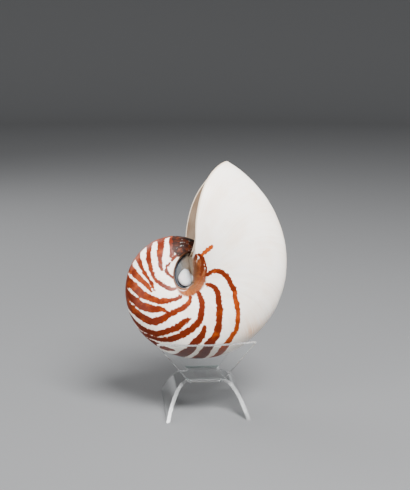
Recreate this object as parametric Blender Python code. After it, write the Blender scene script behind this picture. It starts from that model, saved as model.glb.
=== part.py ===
"""Nautilus shell standing in a bent acrylic cradle.

The shell is one grown piece: an outer wall that follows a logarithmic spiral,
an open living chamber, the last septum behind it and a pocket in the hub on
each side. The stand is one sheet of clear acrylic, cut from a square and
bent into two legs, left and right, and two flaps, front and back. The shell
leans back between the flaps. Metres, +Z up, front towards -Y, origin on the
floor below the middle of the whole object's box.
"""

import math

import bmesh
import bpy
import numpy as np

MM = 0.001

# Shell: the spiral. Angles grow with the shell, seen from the front they turn
# anticlockwise from +X, and the keel's lip stands at LIP_ANGLE.
LIP_RADIUS = 108.9 * MM
LIP_ANGLE = 427.7
GROWTH_PER_TURN = 3.16
TURN = 360.0

# Shell: the whorl's section, as shares of its radius
FLANK_PLACE = 0.437
HALF_WIDTH = 0.375
HUB_PLACE = 0.10
HUB_HALF_WIDTH = 0.25
SHOULDER_END = 150.0

# Shell: the lip stands forward on the flanks and draws back at the keel
LIP_SALIENT = 12.2

# Shell: wall, living chamber and last septum
WALL = 1.8 * MM
CHAMBER_TURN = 125.0
CHAMBER_BLEND_START = 112.0
CHAMBER_SEAM = 145.0
CORE_SEAM = 80.0
SEPTUM_DEPTH = 17.0 * MM
SEPTUM_CENTRE = 0.60
SEPTUM_RINGS = 4

# Shell: the pocket in the hub, with a rounded knob in it
HUB_HEIGHT = 14.0 * MM
POCKET_CENTRE = (1.3 * MM, 6.6 * MM)
POCKET_HALF_LENGTH = 15.3 * MM
POCKET_HALF_WIDTH = 9.7 * MM
POCKET_LEAN = 20.7
POCKET_LIP_CENTRE = 1.0 * MM
POCKET_LIP_HALF_LENGTH = 14.0 * MM
POCKET_LIP_HALF_WIDTH = 5.8 * MM
POCKET_YOUNG_GROWTH = 200.0
POCKET_EDGE = 0.18
POCKET_FLOOR = 11.6 * MM
POCKET_SLOPE = 0.14
POCKET_STEP = 1.0 * MM
POCKET_STEP_REACH = 5.0 * MM
KNOB_CENTRE = (0.1 * MM, 1.0 * MM)
KNOB_HALF_WIDTH = 6.4 * MM
KNOB_HALF_LENGTH = 7.6 * MM
KNOB_TAPER = 0.35
KNOB_HEIGHT = 4.6 * MM

# Shell: grid
RINGS = 50
SECTION_ANGLES = (0, 10, 20, 30, 40, 50, 60, 70, 80, 92, 103, 112, 120, 128, 137, 145, 153, 162, 171)
POLE_ANGLE = 180.0

# Shell: where its coil axis crosses its middle plane, from the stand's centre
SHELL_CENTRE = (-16.0 * MM, 11.1 * MM, 108.85 * MM)
SHELL_LEAN = -17.5
SHELL_YAW = 1.3

# Stand: one sheet, bent up from a square
SHEET = 3.0 * MM
PLATE_HALF = 15.0 * MM
PLATE_HEIGHT = 28.2 * MM
WING_END_HALF = 41.5 * MM
WING_END_SAG = 2.0 * MM
NOTCH_RADIUS = 2.6 * MM
FLAP_BEND_RADIUS = 4.0 * MM
FLAP_ANGLE = 79.8
FLAP_STRAIGHT = 33.4 * MM
LEG_BEND_RADIUS = 6.0 * MM
LEG_KNEE_RADIUS = 18.0 * MM
LEG_START_ANGLE = 26.0
LEG_KNEE_ANGLE = 57.0
LEG_END_ANGLE = 76.0
FOOT_CUT = 0.7 * MM
WING_COLUMNS = 10
NOTCH_STEPS = 3
BEND_STEPS = 5
LEG_STEPS = 9

PEARL_WHITE = (0.86, 0.82, 0.76, 1.0)
CLEAR_ACRYLIC = (0.95, 0.97, 0.97, 1.0)


def clear_scene():
    """Remove every object that the scene starts with."""
    for obj in list(bpy.data.objects):
        bpy.data.objects.remove(obj, do_unlink=True)


def smooth(values):
    """Ease from 0 to 1 with level ends."""
    t = np.clip(values, 0.0, 1.0)
    return t * t * (3.0 - 2.0 * t)


def whorl_radius(angle):
    """Distance from the coil's axis to the keel at an angle."""
    return LIP_RADIUS * GROWTH_PER_TURN ** ((angle - LIP_ANGLE) / TURN)


def section(phi):
    """Place of the wall in the section, as shares of the whorl's radius.

    From the keel to the widest place it is a quarter of an ellipse. From
    there to the hub it curves inwards as another one.
    """
    inner = np.radians(np.clip(np.abs(phi) - 90.0, 0.0, 90.0))
    outer = np.radians(np.clip(np.abs(phi), 0.0, 90.0))
    rho = FLANK_PLACE + (1.0 - FLANK_PLACE) * np.cos(outer) - (FLANK_PLACE - HUB_PLACE) * np.sin(inner)
    width = HALF_WIDTH * np.sin(outer) - (HALF_WIDTH - HUB_HALF_WIDTH) * (1.0 - np.cos(inner))
    return rho, width


def carve_pocket(x, z, height, growth):
    """Sink the wall near the axis to the pocket's floor and raise the knob.

    The pocket is a leaning ellipse. On the young side, by the lip, a second
    upright ellipse limits it. The knob narrows upwards like a drop.
    """
    lean = math.radians(POCKET_LEAN)
    dx = x - POCKET_CENTRE[0]
    dz = z - POCKET_CENTRE[1]
    along = (dx * math.sin(lean) + dz * math.cos(lean)) / POCKET_HALF_LENGTH
    across = (dx * math.cos(lean) - dz * math.sin(lean)) / POCKET_HALF_WIDTH
    whole = np.hypot(along, across)
    by_lip = np.hypot(x / POCKET_LIP_HALF_WIDTH, (z - POCKET_LIP_CENTRE) / POCKET_LIP_HALF_LENGTH)
    reach = np.where(growth > POCKET_YOUNG_GROWTH, np.maximum(whole, by_lip), whole)
    inside = 1.0 - smooth((reach - 1.0 + POCKET_EDGE) / (2.0 * POCKET_EDGE))
    knob_rise = (z - KNOB_CENTRE[1]) / KNOB_HALF_LENGTH
    knob_width = KNOB_HALF_WIDTH * (1.0 - KNOB_TAPER * np.clip(knob_rise, 0.0, 1.0))
    knob_reach = np.hypot((x - KNOB_CENTRE[0]) / knob_width, knob_rise)
    knob = KNOB_HEIGHT * np.sqrt(np.clip(1.0 - knob_reach ** 2, 0.0, 1.0))
    step = POCKET_STEP * (growth / TURN) * np.clip(np.hypot(x, z) / POCKET_STEP_REACH, 0.0, 1.0)
    floor = POCKET_FLOOR - POCKET_SLOPE * z + step + knob
    return height + (floor - height) * inside


def wall_points(growth, phi, pocket):
    """Points of the outer wall in the shell's own frame.

    growth is 0 where the oldest open whorl starts and 360 at the lip, phi
    runs from -180 at the near hub over 0 at the keel to 180 at the far hub.
    """
    growth, phi = np.broadcast_arrays(np.asarray(growth, float), np.asarray(phi, float))
    salient = LIP_SALIENT * np.sin(np.radians(phi)) ** 2
    angle = LIP_ANGLE - TURN + growth + salient
    radius = whorl_radius(angle)
    rho, width = section(np.clip(phi, -SHOULDER_END, SHOULDER_END))
    closing = np.clip((np.abs(phi) - SHOULDER_END) / (POLE_ANGLE - SHOULDER_END), 0.0, 1.0)
    rho = rho * radius * (1.0 - closing)
    height = width * radius
    height = height + (HUB_HEIGHT - height) * smooth(closing)
    x = rho * np.cos(np.radians(angle))
    z = rho * np.sin(np.radians(angle))
    if pocket:
        height = carve_pocket(x, z, height, growth)
    return np.stack([x, np.sign(phi) * height, z], axis=-1)


def wall_normals(growth, phi):
    """Outward directions of the outer wall."""
    step = 0.2
    along = wall_points(growth + step, phi, False) - wall_points(growth - step, phi, False)
    around = wall_points(growth, phi + step, False) - wall_points(growth, phi - step, False)
    normals = np.cross(around, along)
    return normals / np.linalg.norm(normals, axis=-1, keepdims=True)


def chamber_points(growth, phi):
    """Inside of the living chamber: the outer wall moved inwards by WALL.

    Towards the hub it turns in to meet the older whorl along its flank.
    """
    moved = wall_points(growth, phi, False) - WALL * wall_normals(growth, phi)
    seam = wall_points(growth - TURN, np.sign(phi) * CORE_SEAM, False)
    share = smooth((np.abs(phi) - CHAMBER_BLEND_START) / (CHAMBER_SEAM - CHAMBER_BLEND_START))
    return moved + (seam - moved) * share[..., None]


def grid_faces(indices, flip):
    """Four-sided faces over a grid of vertex indices."""
    a, b = indices[:-1, :-1], indices[:-1, 1:]
    c, d = indices[1:, 1:], indices[1:, :-1]
    order = (a, d, c, b) if flip else (a, b, c, d)
    return np.stack(order, axis=-1).reshape(-1, 4).tolist()


def zip_faces(first, second):
    """Triangles between two rows of vertices that may differ in number."""
    faces = []
    i = j = 0
    while i < len(first) - 1 or j < len(second) - 1:
        ahead = (i + 1) * (len(second) - 1) <= (j + 1) * (len(first) - 1)
        if j == len(second) - 1 or (i < len(first) - 1 and ahead):
            faces.append((first[i], first[i + 1], second[j]))
            i += 1
        else:
            faces.append((first[i], second[j + 1], second[j]))
            j += 1
    return [face for face in faces if len(set(face)) == 3]


class MeshBuilder:
    """Vertices and faces of one closed body."""

    def __init__(self):
        self.points = []
        self.faces = []

    def add(self, points):
        """Add an array of points and return their indices in its shape."""
        flat = np.asarray(points).reshape(-1, 3)
        start = len(self.points)
        self.points.extend(flat.tolist())
        return (start + np.arange(len(flat))).reshape(np.asarray(points).shape[:-1])

    def object(self, name, material):
        """Make the mesh object, with its faces pointing out."""
        mesh = bpy.data.meshes.new(name)
        mesh.from_pydata(self.points, [], self.faces)
        work = bmesh.new()
        work.from_mesh(mesh)
        bmesh.ops.triangulate(work, faces=[face for face in work.faces if len(face.verts) > 3])
        bmesh.ops.recalc_face_normals(work, faces=work.faces)
        work.to_mesh(mesh)
        work.free()
        mesh.materials.append(material)
        obj = bpy.data.objects.new(name, mesh)
        bpy.context.scene.collection.objects.link(obj)
        return obj


def septum_faces(build, loop):
    """Close the chamber's back end with a bowl, hollow towards the lip."""
    ring = np.array([build.points[index] for index in loop])
    angle = LIP_ANGLE - CHAMBER_TURN
    place = SEPTUM_CENTRE * whorl_radius(angle)
    turn = math.radians(angle)
    centre = place * np.array([math.cos(turn), 0.0, math.sin(turn)])
    back = np.array([math.sin(turn), 0.0, -math.cos(turn)])
    before = np.array(loop)
    for step in range(1, SEPTUM_RINGS):
        share = step / SEPTUM_RINGS
        depth = SEPTUM_DEPTH * (1.0 - (1.0 - share) ** 2)
        points = ring + (centre - ring) * share + back * depth
        current = build.add(points)
        rows = np.stack([np.append(before, before[0]), np.append(current, current[0])])
        build.faces.extend(grid_faces(rows, True))
        before = current
    middle = int(build.add(centre + back * SEPTUM_DEPTH))
    for a, b in zip(before, np.roll(before, -1)):
        build.faces.append((int(a), middle, int(b)))


def make_shell(material):
    """The whole shell as one closed body."""
    build = MeshBuilder()
    half = np.array(SECTION_ANGLES, float)
    phi = np.concatenate([-half[:0:-1], half])
    growth = np.linspace(0.0, TURN, RINGS + 1)

    # Outer wall, from hub to hub
    wall = build.add(wall_points(growth[:, None], phi[None, :], True))
    build.faces.extend(grid_faces(wall, False))
    poles = build.add(wall_points(np.zeros(2), np.array([-POLE_ANGLE, POLE_ANGLE]), True))
    for ring in range(RINGS):
        near, far = wall[ring:ring + 2, 0], wall[ring:ring + 2, -1]
        build.faces.append((int(poles[0]), int(near[0]), int(near[1])))
        build.faces.append((int(poles[1]), int(far[1]), int(far[0])))

    # Older whorl inside the chamber, which runs on into the outer wall
    steps = int(round(CHAMBER_TURN / TURN * RINGS))
    core_columns = np.flatnonzero(np.abs(phi) <= CORE_SEAM)
    core_growth = np.linspace(-CHAMBER_TURN, 0.0, steps + 1)
    core_phi = phi[core_columns]
    core = build.add(wall_points(core_growth[:-1, None], core_phi[None, :], False))
    core = np.vstack([core, wall[0, core_columns]])
    build.faces.extend(grid_faces(core, False))

    # Chamber wall, with the older whorl's flank as its two edges
    room_columns = np.flatnonzero(np.abs(phi) <= CHAMBER_SEAM)
    room_phi = phi[room_columns]
    room_growth = core_growth + TURN
    room = build.add(chamber_points(room_growth[:, None], room_phi[None, 1:-1]))
    room = np.hstack([core[:, :1], room, core[:, -1:]])
    build.faces.extend(grid_faces(room, True))

    # Last septum
    septum_faces(build, list(room[0]) + list(core[0, -2:0:-1]))

    # Lip, and the corners where it runs into the hub on both sides
    lip = wall[-1, room_columns]
    build.faces.extend(grid_faces(np.stack([lip, room[-1]]), False))
    first, last = room_columns[0], room_columns[-1]
    near_lip = list(wall[-1, first::-1]) + [poles[0]]
    near_core = list(wall[0, core_columns[0]::-1]) + [poles[0]]
    far_lip = list(wall[-1, last:]) + [poles[1]]
    far_core = list(wall[0, core_columns[-1]:]) + [poles[1]]
    build.faces.extend(zip_faces([int(v) for v in near_lip], [int(v) for v in near_core]))
    build.faces.extend(zip_faces([int(v) for v in far_lip], [int(v) for v in far_core]))

    shell = build.object("nautilus_shell", material)
    shell.data.shade_smooth()
    shell.data.set_sharp_from_angle(angle=math.radians(50.0))
    return shell


def follow_bends(distance, bends):
    """Place and slope of a bent sheet at a distance from the plate's edge.

    Each bend is a length and the angle that the sheet turns over it. Returns
    how far out the sheet is, how high, and its slope in degrees.
    """
    out = up = slope = 0.0
    left = distance
    for length, turn in bends:
        part = min(left, length)
        share = turn * part / length
        middle = math.radians(slope + share / 2.0)
        half = math.radians(share) / 2.0
        chord = part * (math.sin(half) / half if abs(half) > 1e-9 else 1.0)
        out += chord * math.cos(middle)
        up += chord * math.sin(middle)
        slope += share
        left -= part
        if left <= 0.0:
            break
    return out, up, slope


def flap_bends():
    """A tight fold upwards, then a straight flap."""
    fold = FLAP_BEND_RADIUS * math.radians(FLAP_ANGLE)
    return [(fold, FLAP_ANGLE), (FLAP_STRAIGHT, 0.0)]


def leg_bends():
    """A short bend downwards, a knee, then a long gentle curve to the floor."""
    first, knee, last = (math.radians(angle) for angle in (LEG_START_ANGLE, LEG_KNEE_ANGLE, LEG_END_ANGLE))
    drop = PLATE_HEIGHT - SHEET / 2.0 + FOOT_CUT
    drop -= LEG_BEND_RADIUS * (1.0 - math.cos(first))
    drop -= LEG_KNEE_RADIUS * (math.cos(first) - math.cos(knee))
    shin_radius = drop / (math.cos(knee) - math.cos(last))
    return [
        (LEG_BEND_RADIUS * first, -LEG_START_ANGLE),
        (LEG_KNEE_RADIUS * (knee - first), LEG_START_ANGLE - LEG_KNEE_ANGLE),
        (shin_radius * (last - knee), LEG_KNEE_ANGLE - LEG_END_ANGLE),
    ]


def wing_stations(bends, curve_steps):
    """Distances from the plate's edge at which a wing has a row of points."""
    length = sum(bend[0] for bend in bends)
    fold = bends[0][0]
    reach = notch_tangent(length)[0]
    rows = [reach * step / NOTCH_STEPS for step in range(NOTCH_STEPS + 1)]
    rows += [fold * step / BEND_STEPS for step in range(1, BEND_STEPS + 1)]
    rows += [fold + (length - fold) * step / curve_steps for step in range(1, curve_steps + 1)]
    return sorted(set(round(row, 7) for row in rows))


def notch_tangent(length):
    """Where the notch's round end meets its straight edge."""
    span = math.hypot(length, WING_END_HALF - PLATE_HALF)
    aim = math.atan2(WING_END_HALF - PLATE_HALF, length)
    angle = aim - math.acos(NOTCH_RADIUS / span)
    return NOTCH_RADIUS * math.cos(angle), PLATE_HALF + NOTCH_RADIUS * math.sin(angle)


def wing_half_width(distance, length):
    """Half the wing's width: round at the notch, then straight to its corner."""
    reach, width = notch_tangent(length)
    if distance <= reach:
        return PLATE_HALF - math.sqrt(NOTCH_RADIUS ** 2 - distance ** 2)
    share = (distance - reach) / (length - reach)
    return width + (WING_END_HALF - width) * share


def wing_points(bends, curve_steps, quarter):
    """Middle points and normals of a wing, on the side given by quarter turns."""
    length = sum(bend[0] for bend in bends)
    turn = math.radians(90.0 * quarter)
    ahead = np.array([math.cos(turn), math.sin(turn), 0.0])
    side = np.array([-math.sin(turn), math.cos(turn), 0.0])
    up = np.array([0.0, 0.0, 1.0])
    level = PLATE_HEIGHT - SHEET / 2.0
    points, normals = [], []
    for station in wing_stations(bends, curve_steps):
        half = wing_half_width(station, length)
        for column in np.linspace(-1.0, 1.0, WING_COLUMNS + 1):
            shorter = WING_END_SAG * (1.0 - column ** 2) * station / length
            out, height, slope = follow_bends(station - shorter, bends)
            points.append(ahead * (PLATE_HALF + out) + side * half * column + up * (level + height))
            angle = math.radians(slope)
            normals.append(up * math.cos(angle) - ahead * math.sin(angle))
    shape = (-1, WING_COLUMNS + 1, 3)
    return np.array(points).reshape(shape), np.array(normals).reshape(shape)


def make_stand(material):
    """The bent sheet: plate, two legs and two flaps in one body."""
    build = MeshBuilder()
    plate = {1: [], -1: []}
    for quarter in range(4):
        is_leg = quarter % 2 == 0
        bends = leg_bends() if is_leg else flap_bends()
        points, normals = wing_points(bends, LEG_STEPS if is_leg else 2, quarter)
        sides = {}
        for sign in (1, -1):
            sides[sign] = build.add(points + normals * sign * SHEET / 2.0)
            build.faces.extend(grid_faces(sides[sign], sign > 0))
            plate[sign].extend(int(v) for v in sides[sign][0])
            corner = (90.0 * quarter + 90.0 * np.arange(1, NOTCH_STEPS) / NOTCH_STEPS)
            turn = math.radians(90.0 * quarter)
            centre = PLATE_HALF * np.array([math.cos(turn) - math.sin(turn), math.sin(turn) + math.cos(turn)])
            arc = np.radians(corner[::-1] + 180.0)
            level = PLATE_HEIGHT - SHEET / 2.0 + sign * SHEET / 2.0
            round_end = np.column_stack([
                centre[0] + NOTCH_RADIUS * np.cos(arc),
                centre[1] + NOTCH_RADIUS * np.sin(arc),
                np.full(len(arc), level),
            ])
            plate[sign].extend(int(v) for v in build.add(round_end))
        for edge in (np.s_[:, 0], np.s_[:, -1], np.s_[-1, :]):
            build.faces.extend(grid_faces(np.stack([sides[1][edge], sides[-1][edge]]), True))
    build.faces.append(tuple(plate[1]))
    build.faces.append(tuple(reversed(plate[-1])))
    count = len(plate[1])
    row = WING_COLUMNS + 1 + NOTCH_STEPS - 1
    for index in range(count):
        if index % row >= WING_COLUMNS:
            after = (index + 1) % count
            build.faces.append((plate[1][index], plate[-1][index], plate[-1][after], plate[1][after]))
    stand = build.object("acrylic_stand", material)
    cut_feet(stand.data)
    stand.data.shade_smooth()
    stand.data.set_sharp_from_angle(angle=math.radians(35.0))
    return stand


def cut_feet(mesh):
    """Cut the leg corners flat on the floor."""
    work = bmesh.new()
    work.from_mesh(mesh)
    geometry = work.verts[:] + work.edges[:] + work.faces[:]
    cut = bmesh.ops.bisect_plane(
        work, geom=geometry, dist=1e-7, plane_co=(0, 0, 0), plane_no=(0, 0, -1), clear_outer=True)
    edges = [item for item in cut["geom_cut"] if isinstance(item, bmesh.types.BMEdge)]
    caps = bmesh.ops.contextual_create(work, geom=edges)["faces"]
    bmesh.ops.triangulate(work, faces=[face for face in work.faces if len(face.verts) > 3] or caps)
    bmesh.ops.recalc_face_normals(work, faces=work.faces)
    work.to_mesh(mesh)
    work.free()


def make_material(name, colour, roughness, transmission=0.0, ior=1.45):
    """A Principled material with plain values."""
    material = bpy.data.materials.new(name)
    material.use_nodes = True
    shader = material.node_tree.nodes["Principled BSDF"]
    shader.inputs["Base Color"].default_value = colour
    shader.inputs["Roughness"].default_value = roughness
    shader.inputs["Metallic"].default_value = 0.0
    shader.inputs["Transmission Weight"].default_value = transmission
    shader.inputs["IOR"].default_value = ior
    return material


def centre_on_floor(root, objects):
    """Move the pieces so that their common box stands centred on the origin."""
    bpy.context.view_layer.update()
    corners = []
    for obj in objects:
        for vertex in obj.data.vertices:
            corners.append(obj.matrix_world @ vertex.co)
    xs = [corner.x for corner in corners]
    ys = [corner.y for corner in corners]
    root.location = (-(min(xs) + max(xs)) / 2.0, -(min(ys) + max(ys)) / 2.0, 0.0)
    bpy.context.view_layer.update()


def main():
    """Model the shell and its stand."""
    clear_scene()
    shell = make_shell(make_material("shell", PEARL_WHITE, 0.42))
    stand = make_stand(make_material("acrylic", CLEAR_ACRYLIC, 0.05, 1.0, 1.49))
    root = bpy.data.objects.new("whole_piece", None)
    bpy.context.scene.collection.objects.link(root)
    shell.parent = root
    stand.parent = root
    shell.location = SHELL_CENTRE
    shell.rotation_euler = (math.radians(SHELL_LEAN), 0.0, math.radians(SHELL_YAW))
    centre_on_floor(root, [shell, stand])


main()
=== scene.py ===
"""Looks of a whole nautilus shell that leans back in a cradle of clear acrylic.

The shell is one fine mesh worked out from the same spiral as the solid model,
with its markings kept as values on its points. The stand is one bent sheet.
Lengths are metres, angles are degrees, +Z is up and the front faces -Y.
"""
import logging
import math
from collections.abc import Callable
from dataclasses import dataclass, field
from enum import Enum

import bmesh
import bpy
import numpy as np
from mathutils import Matrix, Vector


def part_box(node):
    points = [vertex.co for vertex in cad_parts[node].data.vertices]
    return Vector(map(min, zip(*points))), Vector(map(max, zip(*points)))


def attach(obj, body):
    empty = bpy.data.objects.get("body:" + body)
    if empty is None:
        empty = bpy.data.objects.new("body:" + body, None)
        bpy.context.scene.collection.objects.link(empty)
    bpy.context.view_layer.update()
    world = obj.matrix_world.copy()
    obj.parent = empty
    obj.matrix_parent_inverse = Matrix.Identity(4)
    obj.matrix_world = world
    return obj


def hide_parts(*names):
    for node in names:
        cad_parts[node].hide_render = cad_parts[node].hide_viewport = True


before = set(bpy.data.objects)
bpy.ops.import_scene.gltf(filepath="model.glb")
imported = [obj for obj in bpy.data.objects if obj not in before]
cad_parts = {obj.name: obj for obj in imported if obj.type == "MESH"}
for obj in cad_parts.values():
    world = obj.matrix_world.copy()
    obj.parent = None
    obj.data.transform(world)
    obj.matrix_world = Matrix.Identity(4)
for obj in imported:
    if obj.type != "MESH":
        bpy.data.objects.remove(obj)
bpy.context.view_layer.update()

MM = 0.001
TURN = 360.0
POLE = 180.0
LOG = logging.getLogger("nautilus")
Array = np.ndarray
Colour = tuple[float, float, float, float]
Socket = bpy.types.NodeSocket
Sockets = dict[str, Socket]
Value = Socket | float | Colour


class Surface(Enum):
    """Which finish a face of the shell takes, as its material index."""

    SKIN = 0
    PEARL = 1


class Cut(Enum):
    """Which finish a face of the stand takes, as its material index."""

    FACE = 0
    EDGE_AND_HIGHLIGHT = 1


def smooth(values: Array) -> Array:
    """Ease from 0 to 1: three times the square less twice the cube."""
    t = np.clip(values, 0.0, 1.0)
    return t * t * (3.0 - 2.0 * t)


def show(name: str, data: bpy.types.ID) -> bpy.types.Object:
    """Put a mesh, light or camera into the scene, at the origin."""
    shown = bpy.data.objects.new(name, data)
    bpy.context.scene.collection.objects.link(shown)
    return shown


class MeshBuilder:
    """Points, faces and values of one mesh, added as whole arrays."""

    def __init__(self) -> None:
        """Start with nothing in the mesh."""
        self.points: list[Array] = []
        self.faces: list[Array] = []
        self.finishes: list[Array] = []
        self.count = 0

    def add(self, points: Array) -> Array:
        """Add points.

        Args:
            points: an array whose last axis is x, y, z.

        Returns:
            The new points' indices, in the array's shape without that axis.
        """
        flat = np.asarray(points, float).reshape(-1, 3)
        indices = self.count + np.arange(len(flat))
        self.points.append(flat)
        self.count += len(flat)
        return indices.reshape(np.asarray(points).shape[:-1])

    def grid(self, indices: Array, finish: Enum, flip: bool = False) -> None:
        """Cover a grid of indices with four-sided faces, turned over by flip."""
        a, b = indices[:-1, :-1], indices[:-1, 1:]
        c, d = indices[1:, 1:], indices[1:, :-1]
        order = (a, d, c, b) if flip else (a, b, c, d)
        self.collect(np.stack(order, axis=-1).reshape(-1, 4), finish)

    def fan(self, tip: int, ring: Array, finish: Enum, flip: bool = False) -> None:
        """Join a row of indices to one point with triangles."""
        first, second = (ring[1:], ring[:-1]) if flip else (ring[:-1], ring[1:])
        self.collect(np.column_stack([np.full(len(first), tip), first, second]), finish)

    def zip(self, first: Array, second: Array, finish: Enum) -> None:
        """Join two rows of different length with triangles, evenly along both.

        Each row's steps are sorted by their share of its length, so the order
        of the triangles is a merge of the two rows.
        """
        steps_a = np.arange(1, len(first)) / (len(first) - 1)
        steps_b = np.arange(1, len(second)) / (len(second) - 1)
        order = np.argsort(np.concatenate([steps_a, steps_b]), kind="stable")
        on_first = order < len(steps_a)
        at_a = np.concatenate([[0], np.cumsum(on_first)])[:-1]
        at_b = np.concatenate([[0], np.cumsum(~on_first)])[:-1]
        after_a = np.minimum(at_a + 1, len(first) - 1)
        after_b = np.minimum(at_b + 1, len(second) - 1)
        third = np.where(on_first, first[after_a], second[after_b])
        faces = np.column_stack([first[at_a], third, second[at_b]])
        whole = (faces[:, 0] != faces[:, 1]) & (faces[:, 1] != faces[:, 2]) & (faces[:, 2] != faces[:, 0])
        self.collect(faces[whole], finish)

    def collect(self, faces: Array, finish: Enum) -> None:
        """Keep faces of one kind, with their finish."""
        self.faces.append(np.asarray(faces, int))
        self.finishes.append(np.full(len(faces), finish.value))

    def all_points(self) -> Array:
        """Every point so far, as one array."""
        return np.concatenate(self.points)

    def mesh(self, name: str, placed: Array) -> bpy.types.Mesh:
        """Make the mesh from the faces and the points' final places."""
        mesh = bpy.data.meshes.new(name)
        faces = [row for group in self.faces for row in group.tolist()]
        mesh.from_pydata(placed.tolist(), [], faces)
        mesh.polygons.foreach_set("material_index", np.concatenate(self.finishes).astype(np.int32))
        mesh.update()
        return mesh


@dataclass(frozen=True)
class Pocket:
    """The sunk hub on each side of the coil, with the rounded knob in it."""

    centre: tuple[float, float] = (1.3 * MM, 6.6 * MM)
    half_length: float = 15.3 * MM
    half_width: float = 9.7 * MM
    lean: float = 20.7
    lip_centre: float = 1.0 * MM
    lip_half_length: float = 20.0 * MM
    lip_half_width: float = 6.0 * MM
    young_growth: float = 200.0
    edge: float = 0.08
    floor: float = 11.6 * MM
    slope: float = 0.14
    step: float = 0.05 * MM
    step_reach: float = 5.0 * MM
    knob_centre: tuple[float, float] = (0.1 * MM, 1.0 * MM)
    knob_half_width: float = 6.4 * MM
    knob_half_length: float = 7.6 * MM
    knob_taper: float = 0.35
    knob_height: float = 4.6 * MM

    def reach(self, x: Array, z: Array, growth: Array) -> Array:
        """Distance from the middle of the leaning ellipse, 1 on its rim.

        On the young side, by the lip, a straight side over half an ellipse
        limits it too.
        """
        lean = math.radians(self.lean)
        dx = x - self.centre[0]
        dz = z - self.centre[1]
        along = (dx * math.sin(lean) + dz * math.cos(lean)) / self.half_length
        across = (dx * math.cos(lean) - dz * math.sin(lean)) / self.half_width
        whole = np.hypot(along, across)
        below = np.minimum(z - self.lip_centre, 0.0)
        by_lip = np.hypot(x / self.lip_half_width, below / self.lip_half_length)
        return np.where(growth > self.young_growth, np.maximum(whole, by_lip), whole)

    def knob(self, x: Array, z: Array) -> Array:
        """1 in the middle of the knob, less the squared distance from it, 0 outside.

        The knob narrows evenly upwards, as a drop does.
        """
        dz = (z - self.knob_centre[1]) / self.knob_half_length
        narrowed = self.knob_half_width * (1.0 - self.knob_taper * np.clip(dz, 0.0, 1.0))
        return np.clip(1.0 - ((x - self.knob_centre[0]) / narrowed) ** 2 - dz ** 2, 0.0, 1.0)

    def carve(self, x: Array, z: Array, height: Array, growth: Array) -> Array:
        """Sink the wall inside the rim to a sloping floor and raise the knob.

        The floor falls evenly with z, steps up a little over one turn of
        growth, and carries the knob as half an ellipsoid.
        """
        inside = 1.0 - smooth((self.reach(x, z, growth) - 1.0 + self.edge) / (2.0 * self.edge))
        knob = self.knob_height * np.sqrt(self.knob(x, z))
        step = self.step * growth / TURN * np.clip(np.hypot(x, z) / self.step_reach, 0.0, 1.0)
        floor = self.floor - self.slope * z + step + knob
        return height + (floor - height) * inside


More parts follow.
